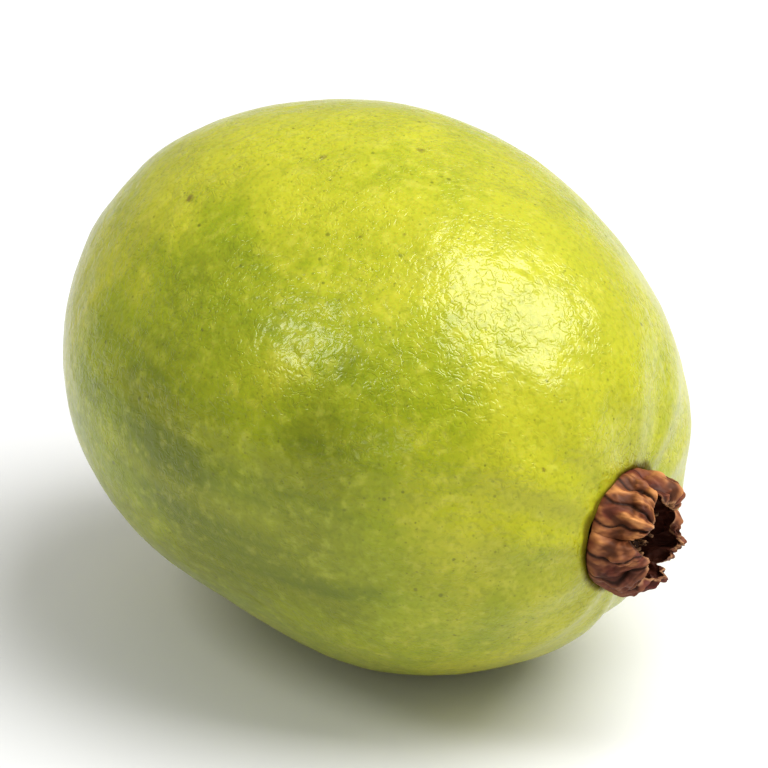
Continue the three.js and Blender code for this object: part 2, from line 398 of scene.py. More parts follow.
class Finish(Graph):
    """A procedural material on one Principled shader."""

    def __init__(self, name: str, uniform: dict[str, object]) -> None:
        """Start a material.

        Args:
            name: Its name.
            uniform: The values that are the same all over the surface, set on the shader's own sockets.
        """
        self.material = bpy.data.materials.new(name)
        self.material.use_nodes = True
        self.tree = self.material.node_tree
        self.tree.nodes.clear()
        self.shader = self.tree.nodes.new("ShaderNodeBsdfPrincipled")
        output = self.tree.nodes.new("ShaderNodeOutputMaterial")
        self.tree.links.new(self.shader.outputs[0], output.inputs[0])
        for socket, value in uniform.items():
            self.shader.inputs[socket].default_value = value

    def place(self) -> bpy.types.NodeSocket:
        """Give the place on the piece in millimetres."""
        coordinates = self.add("ShaderNodeTexCoord")
        return self.scaled(coordinates.outputs["Object"], 1 / MM)

    def attribute(self, name: str) -> Field:
        """Read a number that the piece's points keep."""
        node = self.add("ShaderNodeAttribute", attribute_name=name)
        return self.field(node.outputs["Fac"])

    def attribute_vector(self, name: str) -> bpy.types.NodeSocket:
        """Read a vector that the piece's points keep."""
        return self.add("ShaderNodeAttribute", attribute_name=name).outputs["Vector"]

    def moved_by(self, vector: object, shift: Field) -> bpy.types.NodeSocket:
        """Shift a vector along all its axes by a field, so that what is drawn with it turns ragged."""
        x, y, z = self.parts(vector)
        return self.vector(x + shift, y - shift, z + shift)

    def mix(self, share: Field, below: object, above: object) -> bpy.types.NodeSocket:
        """Mix two colours, with the second one where share is 1."""
        node = self.add("ShaderNodeMix", data_type="RGBA")
        colours = [s for s in node.inputs if s.type == "RGBA"]
        connect(self.tree, share, node.inputs[0])
        connect(self.tree, below, colours[0])
        connect(self.tree, above, colours[1])
        return next(s for s in node.outputs if s.type == "RGBA")

    def cells(self, vector: object, size: float) -> bpy.types.Node:
        """Add a cell pattern with cells of a size in the vector's units."""
        return self.add("ShaderNodeTexVoronoi", {"Vector": vector, "Scale": 1 / size})

    def bump(self, height: Field, depth: float) -> None:
        """Let the surface's fine relief follow a height between 0 and 1, of a depth in millimetres."""
        node = self.add("ShaderNodeBump", {"Height": height, "Distance": depth * MM, "Strength": 1.0})
        for socket in ("Normal", "Coat Normal"):
            self.tree.links.new(node.outputs[0], self.shader.inputs[socket])

    def paint(self, colour: object, roughness: object) -> None:
        """Set the colour and the roughness."""
        connect(self.tree, colour, self.shader.inputs["Base Color"])
        connect(self.tree, roughness, self.shader.inputs["Roughness"])

    def shine(self, share: Field, coat: float, gloss: float) -> None:
        """Give the surface a clear coat and a gloss of its own, both where share is 1."""
        connect(self.tree, share * coat, self.shader.inputs["Coat Weight"])
        connect(self.tree, share * gloss, self.shader.inputs["Specular IOR Level"])


Colour = tuple[float, float, float, float]


def tone(red: int, green: int, blue: int) -> Colour:
    """Turn a screen colour, 0 to 255, into the linear colour that a shader takes, by the sRGB curve."""
    shares = (red / 255, green / 255, blue / 255)
    linear = [s / 12.92 if s < 0.04045 else ((s + 0.055) / 1.055) ** 2.4 for s in shares]
    return linear[0], linear[1], linear[2], 1.0


@dataclass(frozen=True)
class Tint:
    """A colour laid over what is there where a noise is high."""

    colour: Colour
    noise: Noise
    cover: Ramp
    lengthwise: bool = False


@dataclass(frozen=True)
class Specks:
    """Small specks: their spacing, their mean radius as a share of it, their cover and a stretch."""

    spacing: float
    radius: float
    cover: float
    stretch: float


@dataclass(frozen=True)
class Stain:
    """A dark ring round a piece that grows out of the skin: how far it reaches and how ragged its edge is."""

    reach: Ramp
    raggedness: float


@dataclass(frozen=True)
class SkinFinish:
    """Glossy yellow-green skin with pale patches, streaks towards the ends, specks and a few scars."""

    deep: Colour = tone(90, 102, 0)
    green: Colour = tone(148, 160, 6)
    yellow: Colour = tone(184, 184, 40)
    pale: Colour = tone(216, 212, 104)
    speck: Colour = tone(96, 100, 16)
    scar: Colour = tone(104, 84, 30)
    stain: Colour = tone(84, 66, 20)
    coat: float = 0.55
    gloss: float = 0.5
    roughness: tuple[float, float] = (0.46, 0.32)
    # Painted shade: round this spot the skin is painted deeper green, as if in shadow, and slightly yellower
    # far from it.
    painted_shade_spot: tuple[float, float, float] = (0.0, -38.0, 33.0)
    painted_shade_fade: Ramp = Ramp(0.0, 56.0, -0.46, 0.2)
    patches: Noise = Noise(22.0, 1.0, 2.0, 0.6)
    patch_strength: float = 1.15
    flecks: Noise = Noise(1.7, 3.0, 3.0)
    fleck_strength: float = 0.35
    dull_flecks: Noise = Noise(1.7, 10.0)
    turning_yellow: Ramp = Ramp(0.34, 0.72)
    staying_deep: Ramp = Ramp(0.02, 0.42, 0.75, 0.0)
    tints: tuple[Tint, ...] = (
        Tint(deep, Noise(7.0, 2.0, 4.0, 0.4), Ramp(0.35, 0.72, 0.0, 0.2)),
        Tint(yellow, Noise(1.1, 4.0, 4.0, 0.2), Ramp(0.35, 0.68, 0.0, 0.25), lengthwise=True),
        Tint(pale, flecks, Ramp(0.5, 0.75, 0.0, 0.2)),
        Tint(deep, Noise(0.7, 9.0), Ramp(0.45, 0.7, 0.0, 0.22)),
    )
    specks: tuple[Specks, ...] = (Specks(1.0, 0.15, 0.4, 1.0), Specks(2.7, 0.09, 0.6, 1.01))
    speck_edge: Noise = Noise(0.8, 8.0)
    speck_raggedness: float = 0.5
    smallest_speck: float = 0.5
    speck_fade: Ramp = Ramp(0.5, 1.3, 1.0, 0.0)
    speck_gaps: float = 0.4
    scar_spacing: float = 9.0
    scar_gaps: float = 0.6
    scar_edge: Noise = Noise(0.9, 7.0, 3.0)
    scar_raggedness: float = 0.06
    scar_fade: Ramp = Ramp(0.0, 0.05, 0.7, 0.0)
    blemishes: tuple[tuple[float, float, float, float], ...] = (
        (22.2, -7.4, 69.0, 0.3),
        (0.5, 4.1, 76.1, 0.8),
        (-8.4, -6.3, 75.5, 0.7),
        (40.5, -13.5, 47.2, 0.5),
        (-21.7, -19.6, 69.3, 0.9),
        (6.8, -14.6, 71.3, 0.4),
    )
    blemish_raggedness: float = 1.6
    blemish_fade: Ramp = Ramp(0.5, 1.2, 0.7, 0.0)
    stain_edge: Noise = Noise(1.6, 9.0, 3.0)
    stain_blots: Noise = Noise(4.0, 15.0, 1.0)
    blot_reach: float = 3.0
    crown_stain: Stain = Stain(Ramp(8.7, 9.7, 0.8, 0.0), 0.72)
    stalk_stain: Stain = Stain(Ramp(3.2, 5.4, 0.8, 0.0), 2.4)
    under_crown: Ramp = Ramp(7.6, 8.4, 1.0, 0.0)
    reliefs: tuple[tuple[Noise, float], ...] = (
        (Noise(3.4, 5.0, 1.0, 0.6), 1.1),
        (Noise(1.6, 6.0, 1.0, 0.6), 0.35),
        (Noise(0.7, 14.0, 1.0), 0.05),
    )
    creases: Noise = Noise(1.0, 16.0, 0.0, 1.0)
    crease_width: Ramp = Ramp(0.0, 0.16)
    crease_depth: float = 0.16
    creased_areas: Noise = Noise(8.0, 17.0, 1.0)
    crease_fade: Ramp = Ramp(0.35, 0.6, 0.35, 1.0)
    relief_depth: float = 0.28

    def make(self) -> bpy.types.Material:
        """Build the material.

        Returns:
            The skin's material.
        """
        uniform = {
            "IOR": 1.38,
            "Coat Roughness": 0.15,
            "Subsurface Weight": 0.06,
            "Subsurface Scale": 0.003,
            "Specular Tint": (1.0, 0.98, 0.75, 1.0),
        }
        finish = Finish("guava_skin", uniform)
        place = finish.place()
        ground = self.ground(finish, place)
        loose = finish.moved_by(place, finish.sway(place, self.speck_edge, self.speck_raggedness))
        for specks in self.specks:
            spots = self.spots(finish, finish.scaled(loose, specks.stretch), specks)
            ground = finish.mix(spots * specks.cover, ground, self.speck)
        ground = finish.mix(self.scars(finish, place), ground, self.scar)
        stain = self.stains(finish)
        ground = finish.mix(stain, ground, self.stain)
        finish.paint(ground, mixed(finish.noise(place, self.dull_flecks), *self.roughness))
        finish.shine(1.0 - stain, self.coat, self.gloss)
        finish.bump(self.relief(finish, place), self.relief_depth)
        return finish.material

    def ground(self, finish: Finish, place: object) -> object:
        """Give the skin's colour: yellow-green, painted deeper green round one spot as painted shade, with
        patches, streaks and grain.

        Args:
            finish: The material being built.
            place: The place in millimetres.

        Returns:
            The colour.
        """
        # Painted shade: the share falls near the shade spot, so the skin turns deeper green there.
        painted_shade_lift = distance(finish.parts(place), self.painted_shade_spot).ramp(self.painted_shade_fade)
        share = finish.sway(place, self.patches, self.patch_strength) + 0.5 + painted_shade_lift
        share = share + finish.sway(place, self.flecks, self.fleck_strength)
        ground = finish.mix(share.ramp(self.turning_yellow), self.green, self.yellow)
        ground = finish.mix(share.ramp(self.staying_deep), ground, self.deep)
        lengthwise = finish.attribute_vector("lengthwise")
        for tint in self.tints:
            noise = finish.noise(lengthwise if tint.lengthwise else place, tint.noise)
            ground = finish.mix(noise.ramp(tint.cover), ground, tint.colour)
        return ground

    def relief(self, finish: Finish, place: object) -> Field:
        """Give the height of the skin: soft lumps, pores and the narrow creases that break up the gloss.

        Args:
            finish: The material being built.
            place: The place in millimetres.

        Returns:
            The height.
        """
        lumps = sum_of([finish.noise(place, noise) * height for noise, height in self.reliefs])
        winding = finish.sway(place, self.creases).math("ABSOLUTE").ramp(self.crease_width)
        strong = finish.noise(place, self.creased_areas).ramp(self.crease_fade)
        return lumps + winding * strong * self.crease_depth

    def spots(self, finish: Finish, place: object, specks: Specks) -> Field:
        """Give small specks, each with its own size, and none in some places.

        Args:
            finish: The material being built.
            place: The place in millimetres.
            specks: The specks' measures.

        Returns:
            1 on a speck and 0 beside it.
        """
        cells = finish.cells(place, specks.spacing)
        away = finish.field(cells.outputs["Distance"])
        share, chance, _ = finish.parts(cells.outputs["Color"])
        radius = (share + self.smallest_speck) * specks.radius
        return (away / radius).ramp(self.speck_fade) * chance.above(self.speck_gaps)

    def scars(self, finish: Finish, place: object) -> Field:
        """Give the few larger brown scars, ragged at their edges: some by chance and some at named places."""
        cells = finish.cells(place, self.scar_spacing)
        away = finish.field(cells.outputs["Distance"])
        _, chance, _ = finish.parts(cells.outputs["Color"])
        ragged = finish.sway(place, self.scar_edge)
        scars = (away + ragged * self.scar_raggedness).ramp(self.scar_fade) * chance.above(self.scar_gaps)
        for *spot, radius in self.blemishes:
            away = distance(finish.parts(place), spot) / radius
            scars = scars.highest((away + ragged * self.blemish_raggedness).ramp(self.blemish_fade))
        return scars

    def stains(self, finish: Finish) -> Field:
        """Give the dark line where the skin meets the crown and the stub, and the skin under the crown."""
        place = finish.place()
        ragged = finish.sway(place, self.stain_edge)
        blots = finish.sway(place, self.stain_blots, self.blot_reach).highest(0.0)
        from_crown = finish.attribute("crown_reach")
        from_stalk = finish.attribute("stalk_reach")
        at_crown = (from_crown + ragged * self.crown_stain.raggedness - blots).ramp(self.crown_stain.reach)
        at_stalk = (from_stalk + ragged * self.stalk_stain.raggedness).ramp(self.stalk_stain.reach)
        return at_crown.highest(at_stalk).highest(from_crown.ramp(self.under_crown))


@dataclass(frozen=True)
class SepalFinish:
    """Dry leather, tan above and reddish brown below: the tan raised parts are painted highlight; the redder
    underside, the nearly black folds and the dark inside are painted shade.
    """

    # The leather's tan, laid on the raised parts of the relief as painted highlight.
    ridge: Colour = tone(208, 147, 92)
    leather: Colour = tone(128, 78, 50)
    # Painted shade: the leather is painted darker and redder towards the table.
    painted_shade_below: Colour = tone(98, 56, 50)
    # Painted shade: the folds of the crumples and pleats are painted nearly black.
    fold: Colour = tone(44, 20, 8)
    red: Colour = tone(98, 42, 36)
    rim: Colour = tone(192, 146, 106)
    # Painted shade: the inner faces of the sepals are painted dark.
    dark: Colour = tone(92, 52, 40)
    grain: Noise = Noise(0.5, 11.0, 4.0, 0.3)
    fibre: Noise = Noise(1.0, 13.0, 2.0, 0.3)
    blotches: Noise = Noise(4.5, 12.0, 2.0, 0.3)
    crumple_height: float = 0.55
    pleat_height: float = 0.35
    fibre_height: float = 0.3
    grain_height: float = 0.15
    ridge_painted_highlight: Ramp = Ramp(0.35, 0.9)
    painted_shade_below_cover: Ramp = Ramp(28.0, 37.0, 0.75, 0.0)
    red_cover: Ramp = Ramp(0.45, 0.6, 0.0, 0.7)
    crumple_painted_shade: Ramp = Ramp(0.0, 0.35, 0.6, 0.0)
    pleat_painted_shade: Ramp = Ramp(0.35, 0.75, 0.9, 0.0)
    rim_cover: Ramp = Ramp(0.3, 0.7, 0.3, 0.9)
    inside_painted_shade: float = 0.8
    roughness: tuple[float, float] = (0.62, 0.42)
    fibre_share: float = 0.6
    relief_depth: float = 0.12

    def make(self) -> bpy.types.Material:
        """Build the material.

        Returns:
            The sepals' material.
        """
        finish = Finish("guava_sepal", {"IOR": 1.45, "Specular IOR Level": 0.26})
        place = finish.place()
        _, _, above_table = finish.parts(place)
        pleat, crumple = finish.attribute("pleat"), finish.attribute("crumple")
        inside, edge = finish.attribute("inside"), finish.attribute("edge")
        grain = finish.noise(place, self.grain)
        fibre = finish.noise(finish.attribute_vector("lengthwise"), self.fibre)
        blotches = finish.noise(place, self.blotches)
        height = crumple * self.crumple_height + pleat * self.pleat_height
        height = height + (fibre - 0.5) * self.fibre_height + (grain - 0.5) * self.grain_height
        colour = self.leather
        for share, over in (
            # Painted highlight: the raised parts turn tan.
            (height.ramp(self.ridge_painted_highlight), self.ridge),
            # Painted shade: darker and redder low down, towards the table.
            (above_table.ramp(self.painted_shade_below_cover), self.painted_shade_below),
            (blotches.ramp(self.red_cover), self.red),
            # Painted shade in the folds of the crumples and pleats.
            (crumple.ramp(self.crumple_painted_shade), self.fold),
            (pleat.ramp(self.pleat_painted_shade), self.fold),
            # Painted shade on the inner faces.
            (inside * self.inside_painted_shade, self.dark),
            (edge * fibre.ramp(self.rim_cover), self.rim),
        ):
            colour = finish.mix(share, colour, over)
        finish.paint(colour, mixed(grain, *self.roughness))
        finish.bump(fibre * self.fibre_share + grain * (1.0 - self.fibre_share), self.relief_depth)
        return finish.material


@dataclass(frozen=True)
class FibreFinish:
    """Dry plant fibre in two tones, painted darker by a share where nothing is raised: painted shade at the
    foot of the threads and on the disc.
    """

    name: str
    light: Colour
    dark: Colour
    grain: Noise = Noise(0.5, 21.0, 5.0, 0.3)
    blotches: Noise = Noise(2.5, 22.0)
    grain_share: float = 0.6
    change: Ramp = Ramp(0.35, 0.65)
    roughness: tuple[float, float] = (0.88, 0.68)
    relief_depth: float = 0.1
    foot_painted_shade: float = 0.0

    def make(self) -> bpy.types.Material:
        """Build the material.

        Returns:
            The fibre's material.
        """
        finish = Finish(self.name, {"IOR": 1.45})
        place = finish.place()
        grain = finish.noise(place, self.grain)
        blotches = finish.noise(place, self.blotches)
        share = (grain * self.grain_share + blotches * (1.0 - self.grain_share)).ramp(self.change)
        # Painted shade: darker where the fibre is not raised, low on the threads and on the disc.
        if self.foot_painted_shade:
            share = mixed(finish.attribute("raised"), 1.0, 1.0 - self.foot_painted_shade) * share
        finish.paint(finish.mix(share, self.dark, self.light), mixed(grain, *self.roughness))
        finish.bump(grain, self.relief_depth)
        return finish.material


@dataclass(frozen=True)
class Swell:
    """A broad swell of the fruit."""

    height: float
    around: int
    along: int
    start: float


@dataclass(frozen=True)
class End:
    """The ribs and the dimple at one end of the fruit."""

    rib_height: float
    rib_reach: float
    rib_spread: float
    dimple_depth: float
    dimple_width: float


@dataclass
class Fruit:
    """The fruit body: an egg by formula, with the same form as its solid and finer relief."""

    length: float = 98.0
    girth: float = 77.0
    taper: float = 0.003
    fullness: float = 0.088
    ribs: int = 11
    rib_wander: float = 0.7
    rib_wander_waves: int = 3
    crown_end: End = End(0.8, 15.0, 9.0, 1.1, 12.0)
    stalk_end: End = End(0.45, 12.0, 8.0, 4.2, 8.5)
    swells: tuple[Swell, ...] = (
        Swell(0.9, 2, 1, 4.83),
        Swell(1.2, 3, 2, 1.98),
        Swell(0.42, 5, 3, 0.94),
        Swell(0.15, 8, 5, 4.04),
    )
    flatter: float = 0.6
    rest_tilt: float = 7.0
    flat_depth: float = 0.5
    crown_shift: tuple[float, float] = (-0.8, 0.4)
    crown_turn: tuple[float, float] = (12.0, 6.0)
    shoulder: float = 15.0
    crown_pocket: Ramp = Ramp(7.0, 8.2, 2.4, 0.0)
    stub_lean: float = 5.0
    steps: tuple[int, int] = (400, 216)
    quick_steps: tuple[int, int] = (200, 108)
    lumps: Noise = Noise(13.0, 31.0, 1.5)
    lump_depth: float = 0.5
    ripples: Noise = Noise(4.2, 32.0, 2.0, 0.4)
    ripple_depth: float = 0.26
    inset: float = 0.05
    streaks_around: float = 9.0
    streaks_along: float = 1.1

    def egg(self, u: float) -> tuple[float, float]:
        """Give the plain egg's distance from its axis and height, for an angle from the crown pole."""
        c = math.cos(u)
        wider = 1 + self.taper * c + self.fullness * c * c
        return self.girth / 2 * math.sin(u) * wider, self.length / 2 * c

    def to_table(self) -> Matrix:
        """Give the turn and shift from the fruit's frame to the table's, in millimetres."""
        tilt = math.radians(self.rest_tilt)
        lowest = (0.0, math.inf)
        for step in range(SEARCH_STEPS + 1):
            radius, height = self.egg(math.pi * step / SEARCH_STEPS)
            z = -radius * math.cos(tilt) - height * math.sin(tilt)
            if z < lowest[1]:
                lowest = (height * math.cos(tilt) - radius * math.sin(tilt), z)
        turn = Matrix.Rotation(math.radians(90 + self.rest_tilt), 4, "Y")
        return Matrix.Translation((-lowest[0], 0, -lowest[1] - self.flat_depth)) @ turn

    def to_world(self, seat: Matrix | None = None) -> Matrix:
        """Give the way from a seat's frame in millimetres to the table's in metres."""
        return Matrix.Scale(MM, 4) @ self.to_table() @ (seat or Matrix.Identity(4))

    def crown_seat(self) -> Matrix:
        """Give the way from the crown's frame to the fruit's."""
        sideways, upwards = (math.radians(angle) for angle in self.crown_turn)
        turn = Matrix.Rotation(-sideways, 4, "X") @ Matrix.Rotation(-upwards, 4, "Y")
        middle = (*self.crown_shift, self.length / 2 - self.crown_end.dimple_depth)
        return Matrix.Translation(middle) @ turn

    def stub_seat(self) -> Matrix:
        """Give the way from the stub's frame to the fruit's."""
        turn = Matrix.Rotation(math.pi - math.radians(self.stub_lean), 4, "X")
        return Matrix.Translation((0, 0, self.stalk_end.dimple_depth - self.length / 2)) @ turn

    def tree(self, material: bpy.types.Material) -> ShapeTree:
        """Build the tree that makes the fruit's surface.

        Args:
            material: The skin.

        Returns:
            The tree.
        """
        shape = ShapeTree("fruit_surface")
        length = shape.number("Length", self.length)
        girth = shape.number("Girth", self.girth)
        lump_depth = shape.number("Lump depth", self.lump_depth)
        ripple_depth = shape.number("Ripple depth", self.ripple_depth)
        around = shape.whole("Steps around", self.steps[0])
        along = shape.whole("Steps along", self.steps[1])
        ball = shape.add("GeometryNodeMeshUVSphere", {"Segments": around, "Rings": along, "Radius": 1.0})
        x, y, z = shape.parts(shape.position())
        u = (x.square() + y.square()).root().math("ARCTAN2", z)
        v = y.math("ARCTAN2", x)
        c, s = u.cos(), u.sin()
        crown = c.above(0.0)
        radius = girth * 0.5 * s * (1.0 + c * self.taper + c.square() * self.fullness)
        height = length * 0.5 * c
        swell = self.swell_height(u, v) + self.rib_height(radius, v, crown) * s
        flat_height = height * self.flatter
        steep = (radius.square() + flat_height.square()).root()
        reach = radius + swell * radius / steep
        px, py = reach * v.cos(), reach * v.sin()
        top = height + swell * flat_height / steep + self.end_height(px, py, radius, crown)
        drawn = c * c * c * crown
        place = shape.vector(px + drawn * self.crown_shift[0], py + drawn * self.crown_shift[1], top)
        rings = [turned * self.streaks_around for turned in (v.cos(), v.sin())]
        lengthwise = shape.vector(*rings, u * self.streaks_along)
        egg = shape.kept(ball.outputs[0], "lengthwise", lengthwise, Kind.VECTOR)
        from_crown = mixed(crown, self.from_crown(shape, place), FAR)
        egg = shape.kept(egg, "crown_reach", from_crown, Kind.FLOAT)
        egg = shape.kept(egg, "stalk_reach", mixed(crown, FAR, radius), Kind.FLOAT)
        egg = shape.moved(egg, place)
        spot = shape.position()
        sunk = shape.noise(spot, self.lumps) * lump_depth + shape.noise(spot, self.ripples) * ripple_depth
        egg = shape.pushed(egg, -sunk - self.inset)
        egg = shape.placed(egg, self.to_world())
        wx, wy, wz = shape.parts(shape.position())
        egg = shape.moved(egg, shape.vector(wx, wy, wz.highest(0.0)))
        shape.finish(egg, material)
        return shape

    def swell_height(self, u: Field, v: Field) -> Field:
        """Give the height of the broad swells, for an angle from the crown pole and one round the axis."""
        heights = []
        for wave in self.swells:
            turn = v * float(wave.around) + wave.start + (u * float(wave.along)).sin()
            heights.append(u.sin().square() * turn.cos() * (u * float(wave.along)).cos() * wave.height)
        return sum_of(heights)

    def end_height(self, x: Field, y: Field, radius: Field, crown: Field) -> Field:
        """Give what both ends add to the height: the dimples, the crown's leaning shoulder and its pocket."""
        one, other = self.crown_end, self.stalk_end
        width = mixed(crown, one.dimple_width, other.dimple_width)
        dimple = mixed(crown, -one.dimple_depth, other.dimple_depth) * radius.band(0.0, width)
        up = self.crown_seat().to_3x3() @ Vector((0, 0, 1))
        rise = (x * up.x + y * up.y) * (-1 / up.z) * radius.band(0.0, self.shoulder)
        return dimple + (rise - radius.ramp(self.crown_pocket)) * crown

    def from_crown(self, shape: ShapeTree, place: object) -> Field:
        """Give the distance of a place from the crown's own axis."""
        seat = self.crown_seat()
        up, foot = seat.to_3x3() @ Vector((0, 0, 1)), seat.to_translation()
        gaps = [value - foot[axis] for axis, value in enumerate(shape.parts(place))]
        along = sum_of([gap * up[axis] for axis, gap in enumerate(gaps)])
        return (sum_of([gap.square() for gap in gaps]) - along.square()).highest(0.0).root()

    def rib_height(self, radius: Field, v: Field, crown: Field) -> Field:
        """Give the soft ribs that run out from both ends."""
        one, other = self.crown_end, self.stalk_end
        wave = (v * float(self.ribs) + (v * float(self.rib_wander_waves)).sin() * self.rib_wander).cos()
        reach = mixed(crown, one.rib_reach, other.rib_reach)
        spread = mixed(crown, one.rib_spread, other.rib_spread)
        return mixed(crown, one.rib_height, other.rib_height) * radius.band(reach, spread) * wave

    def build(self) -> bpy.types.Object:
        """Make the fruit's piece.

        Returns:
            The piece.
        """
        steps = self.steps
        tree = self.tree(SkinFinish().make())
        mesh = tree.mesh({"Steps around": steps[0], "Steps along": steps[1]})
        return settle("fruit_skin", mesh, Node.FRUIT)


@dataclass(frozen=True)
class Sepal:
    """One sepal's own shape."""

    tip: float
    rise: float
    bulge: float
    lean: float
    twist: float
    narrow: float
    curl: float


@dataclass(frozen=True)
class Pattern:
    """A noise drawn over a sepal, with how often it changes in its first two directions."""

    often: tuple[float, float]
    noise: Noise

    def read(self, shape: ShapeTree, one: Field, other: Field, seed: Field | float) -> Field:
        """Read the noise, a number between 0 and 1."""
        return shape.noise(shape.vector(one * self.often[0], other * self.often[1], seed), self.noise)

    def sway(self, shape: ShapeTree, one: Field, other: Field, seed: Field | float) -> Field:
        """Read the noise so that it swings about 0."""
        return self.read(shape, one, other, seed) - 0.5


@dataclass
class Crown:
    """The dried crown: five leathery sepals round a low ring."""

    sepals: tuple[Sepal, ...] = (
        Sepal(5.0, 6.3, 9.4, 4.0, 0.5, 0.1, 0.3),
        Sepal(4.7, 6.1, 9.6, -3.0, 0.4, 0.1, 0.1),
        Sepal(6.0, 5.8, 9.2, 7.0, 0.6, 0.3, 0.0),
        Sepal(6.6, 6.4, 9.0, -5.0, -0.5, 0.45, 0.9),
        Sepal(5.2, 7.0, 9.5, 5.0, 0.5, 0.08, 1.5),
    )
    start: float = 210.0
    seat_radius: float = 8.6
    root: float = -1.1
    foot_rise: float = 0.3
    shoulder_reach: float = 0.92
    shoulder_rise: float = 0.98
    half_width: float = 39.0
    bluntness: float = 0.75
    longest: float = 1.25
    thickness: float = 1.15
    thinner_tip: float = 0.55
    thinner_sides: float = 0.35
    thinner_edges: float = 0.5
    folds: tuple[float, float] = (1.0, 2.5)
    second_fold: float = 0.6
    fold_height: float = 0.24
    side_curl: float = 1.3
    tip_curl: Ramp = Ramp(0.55, 1.05)
    tip_edge: Pattern = Pattern((1.6, 1.0), Noise(1.0, 41.0, 3.0))
    tip_raggedness: float = 0.24
    side_edge: Pattern = Pattern((1.0, 2.2), Noise(1.0, 42.0, 3.0))
    side_raggedness: float = 0.3
    drift: Pattern = Pattern((1.6, 3.0), Noise(1.0, 44.0, 1.0))
    pleat_drift: float = 1.3
    line_drift: float = 0.6
    pleats: float = 1.6
    pleat_depth: float = 0.85
    pleat_areas: Pattern = Pattern((1.7, 0.8), Noise(1.0, 43.0, 1.0))
    pleat_fade: Ramp = Ramp(0.35, 0.6, 0.6, 1.0)
    crumples: Pattern = Pattern((6.0, 6.0), Noise(2.4, 45.0, 2.0, 0.6))
    crumple_fade: Ramp = Ramp(0.3, 0.7)
    crumple_depth: float = 0.8
    lines: Pattern = Pattern((5.0, 3.0), Noise(1.0, 46.0, 1.0, 0.4))
    line_fade: Ramp = Ramp(0.0, 0.14, 0.6, 1.0)
    dents: Pattern = Pattern((1.6, 1.8), Noise(1.0, 47.0, 1.0))
    dent_seed: float = 7.0
    dent_depth: float = 3.8
    relief_start: Ramp = Ramp(0.0, 0.25)
    relief_end: Ramp = Ramp(0.75, 1.0, 1.0, 0.45)
    fibres: tuple[float, float, float] = (9.0, 2.5, 5.0)
    fibre_drift: float = 6.0
    inner_face: Ramp = Ramp(-0.4, 0.4, 1.0, 0.0)
    inner_end: Ramp = Ramp(0.5, 1.0, 1.0, 0.25)
    side_rim: Ramp = Ramp(0.55, 0.8)
    tip_rim: Ramp = Ramp(0.94, 0.99)
    seed_step: float = 1.7
    steps: tuple[int, int] = (72, 60)

    def tree(self, place: Matrix, material: bpy.types.Material) -> ShapeTree:
        """Build the tree that makes one sepal from its own numbers.

        Args:
            place: The way from the crown's frame to the table's.
            material: The dry leather.

        Returns:
            The tree.
        """
        shape = ShapeTree("sepal")
        first = self.sepals[0]
        tip, rise = shape.number("Tip", first.tip), shape.number("Rise", first.rise)
        bulge, lean = shape.number("Bulge", first.bulge), shape.number("Lean", first.lean)
        twist, spot = shape.number("Twist", first.twist), shape.number("Place", self.start)
        narrow, curl = shape.number("Narrowing", first.narrow), shape.number("Curl", first.curl)
        seed = shape.number("Seed", 0.0)
        block = shape.add(
            "GeometryNodeMeshCube",
            {
                "Size": (2.0, 2.0, 1.0),
                "Vertices X": self.steps[0] + 1,
                "Vertices Y": 4,
                "Vertices Z": self.steps[1] + 1,
            },
        )
        x, face, z = shape.parts(shape.position())
        across, along = -x, z + 0.5
        tip_edge = self.tip_edge.sway(shape, across, seed, 0.0)
        t = along * (1.0 + along.square() * tip_edge * self.tip_raggedness)
        drift = self.drift.sway(shape, t, seed, 0.0)
        point, ahead = self.middle(t, tip, rise, bulge)
        turn = self.turn(shape, across, t, narrow, seed) + (spot + lean * t.square()) * math.radians(1)
        pleat = self.pleat(shape, across + drift * self.pleat_drift + seed, t, seed)
        crumple = self.crumple(shape, across, t, drift, seed)
        dent = self.dents.sway(shape, across, t, seed + self.dent_seed) * self.dent_depth
        relief = (pleat - 1.0) * self.pleat_depth + (crumple - 1.0) * self.crumple_depth + dent
        relief = relief * t.ramp(self.relief_start) * t.ramp(self.relief_end) + self.fold(across, t, lean)
        curled = t * across.square() * self.side_curl - twist * t * across
        offset = face * self.thinning(across, t) * (self.thickness / 2) + relief - curled
        reach = point[0] + ahead[1] * offset
        up = point[1] - ahead[0] * offset - curl * t.ramp(self.tip_curl).square()
        fibres = [value * often for value, often in zip((across, t, seed), self.fibres)]
        fibres[0] = fibres[0] + drift * self.fibre_drift
        rim = (across.square() ** 3.0 * t).ramp(self.side_rim).highest(along.ramp(self.tip_rim))
        # The leather darkens the pleats, the crumples and the inside as painted shade.
        kept = {
            "pleat": pleat,
            "crumple": crumple,
            "inside": face.ramp(self.inner_face) * t.ramp(self.inner_end),
            "edge": rim,
        }
        sepal = shape.kept(block.outputs[0], "lengthwise", shape.vector(*fibres), Kind.VECTOR)
        for name, value in kept.items():
            sepal = shape.kept(sepal, name, value, Kind.FLOAT)
        sepal = shape.moved(sepal, shape.vector(reach * turn.cos(), reach * turn.sin(), up))
        shape.finish(shape.placed(sepal, place), material)
        return shape

    def turn(self, shape: ShapeTree, across: Field, t: Field, narrow: Field, seed: Field) -> Field:
        """Give the angle from a sepal's middle, which its narrowing, blunt tip and ragged sides set."""
        wavy = self.side_edge.sway(shape, seed, t, across.above(0.0)) * self.side_raggedness
        fifth = t.square() * t.square() * t
        blunt = (1.0 - fifth.lowest(self.longest) * self.bluntness).root()
        return across * (1.0 - t * narrow) * blunt * (1.0 + t * wavy) * math.radians(self.half_width)

    def fold(self, across: Field, t: Field, lean: Field) -> Field:
        """Give the height of the soft folds that run along a sepal."""
        broad, narrow = (math.tau * folds for folds in self.folds)
        fold = (across * broad + lean).cos() + (across * narrow).cos() * self.second_fold
        return fold * self.fold_height * (t.lowest(1.0) * math.pi).sin()

